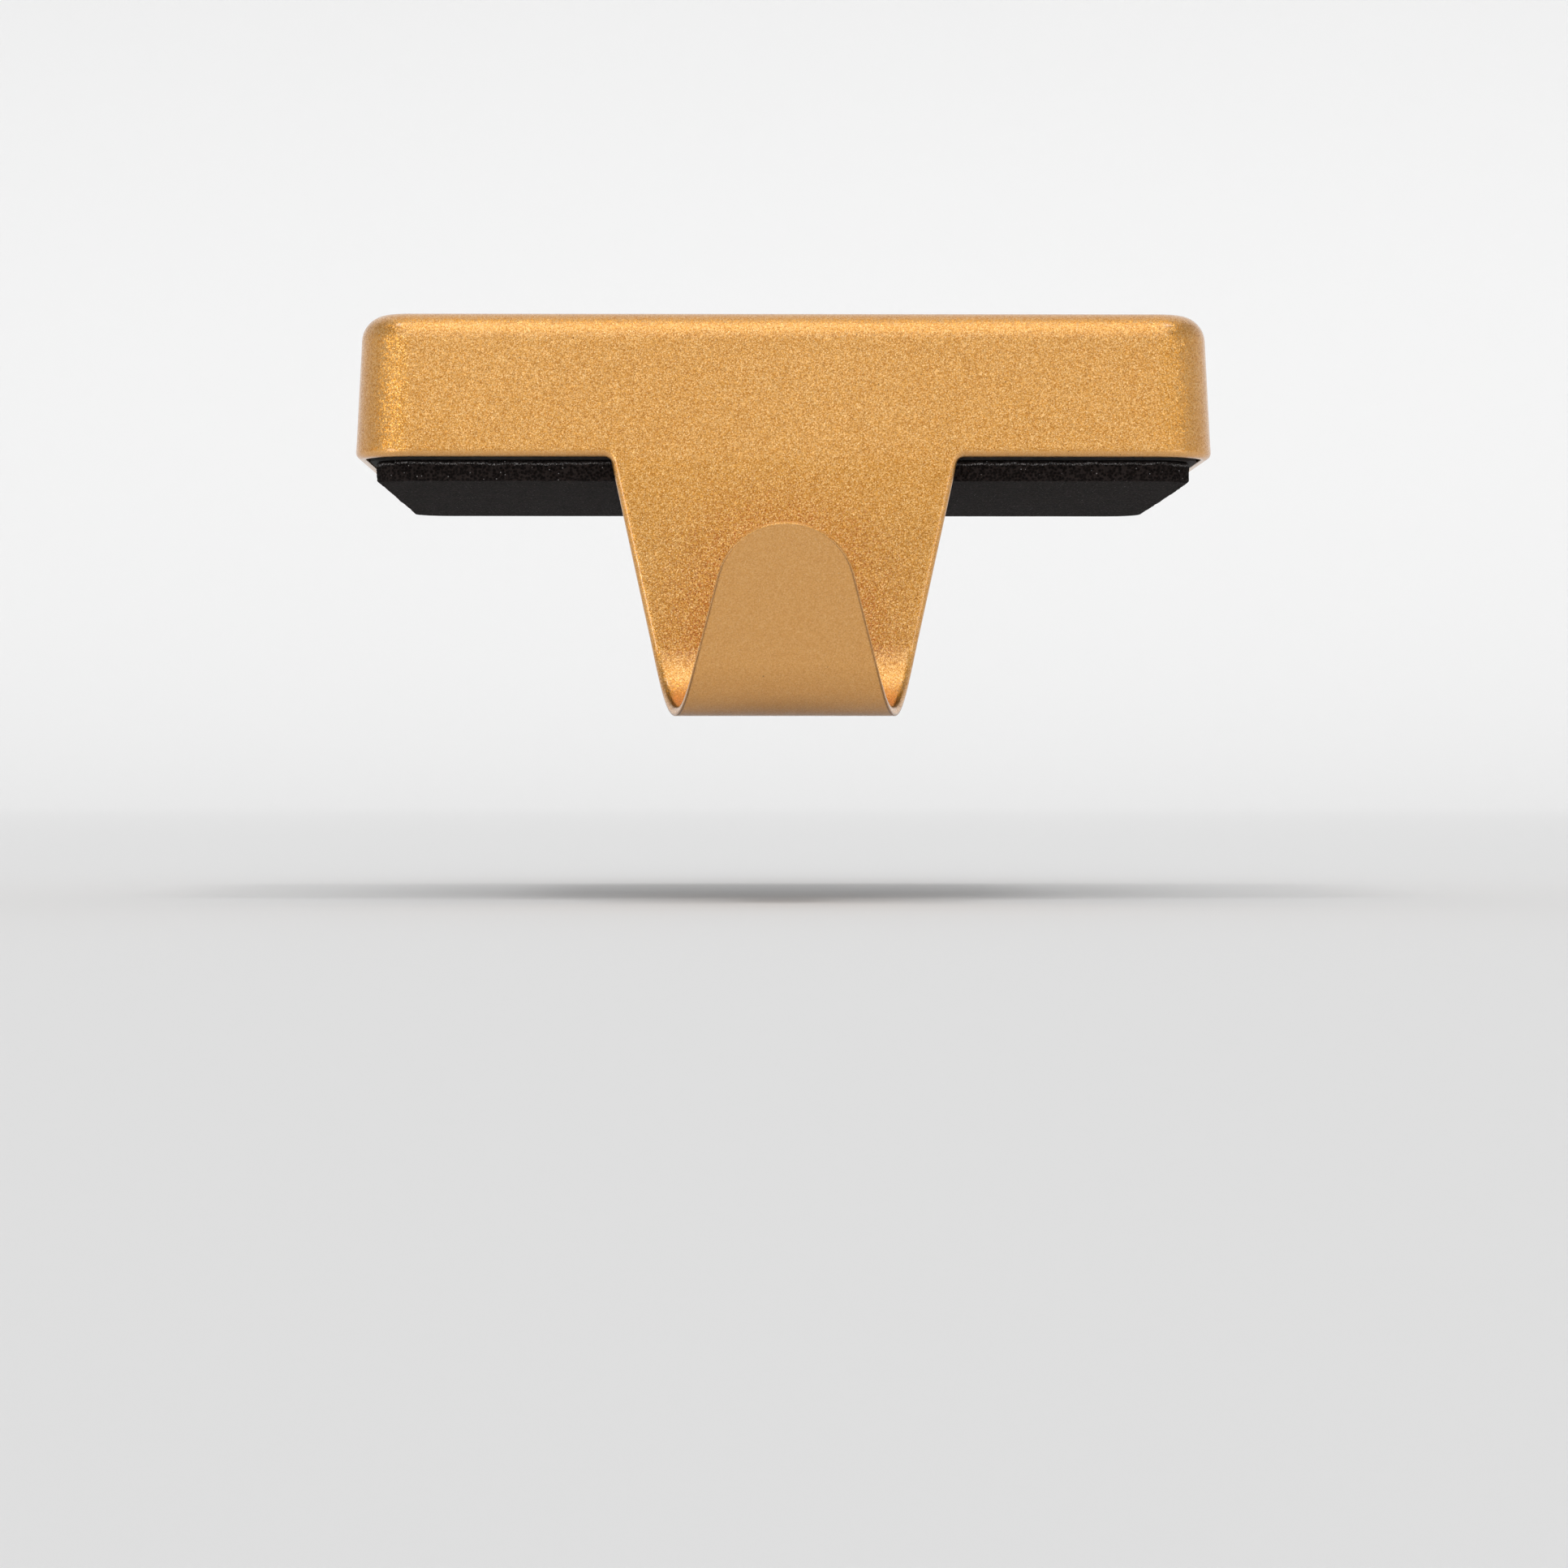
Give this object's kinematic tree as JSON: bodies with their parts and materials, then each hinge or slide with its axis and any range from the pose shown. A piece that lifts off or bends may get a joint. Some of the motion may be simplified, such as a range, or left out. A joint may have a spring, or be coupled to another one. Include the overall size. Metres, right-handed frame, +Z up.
{
  "type": "mantel stocking holder",
  "caption": "Weighted mantel stocking holder: a pressed sheet-metal block with a tapered hook curled up from its front wall, on a foam anti-slip pad.",
  "frame": {"origin": "middle of the foam pad's underside, the face that rests on the mantel shelf", "axes": "+Z up, -Y towards the viewer, the way the hook points, and +X to the viewer's right"},
  "size_m": [0.082, 0.0809, 0.0385],
  "materials": {
    "gold_paint": "gold metallic flake paint under a clear coat",
    "raw_iron": "as cast, matt",
    "black_foam": "matt closed-cell foam"
  },
  "bodies": {
    "root": {"hook_shell": "gold_paint", "ballast_block": "raw_iron", "foam_pad": "black_foam"}
  },
  "joints": []
}
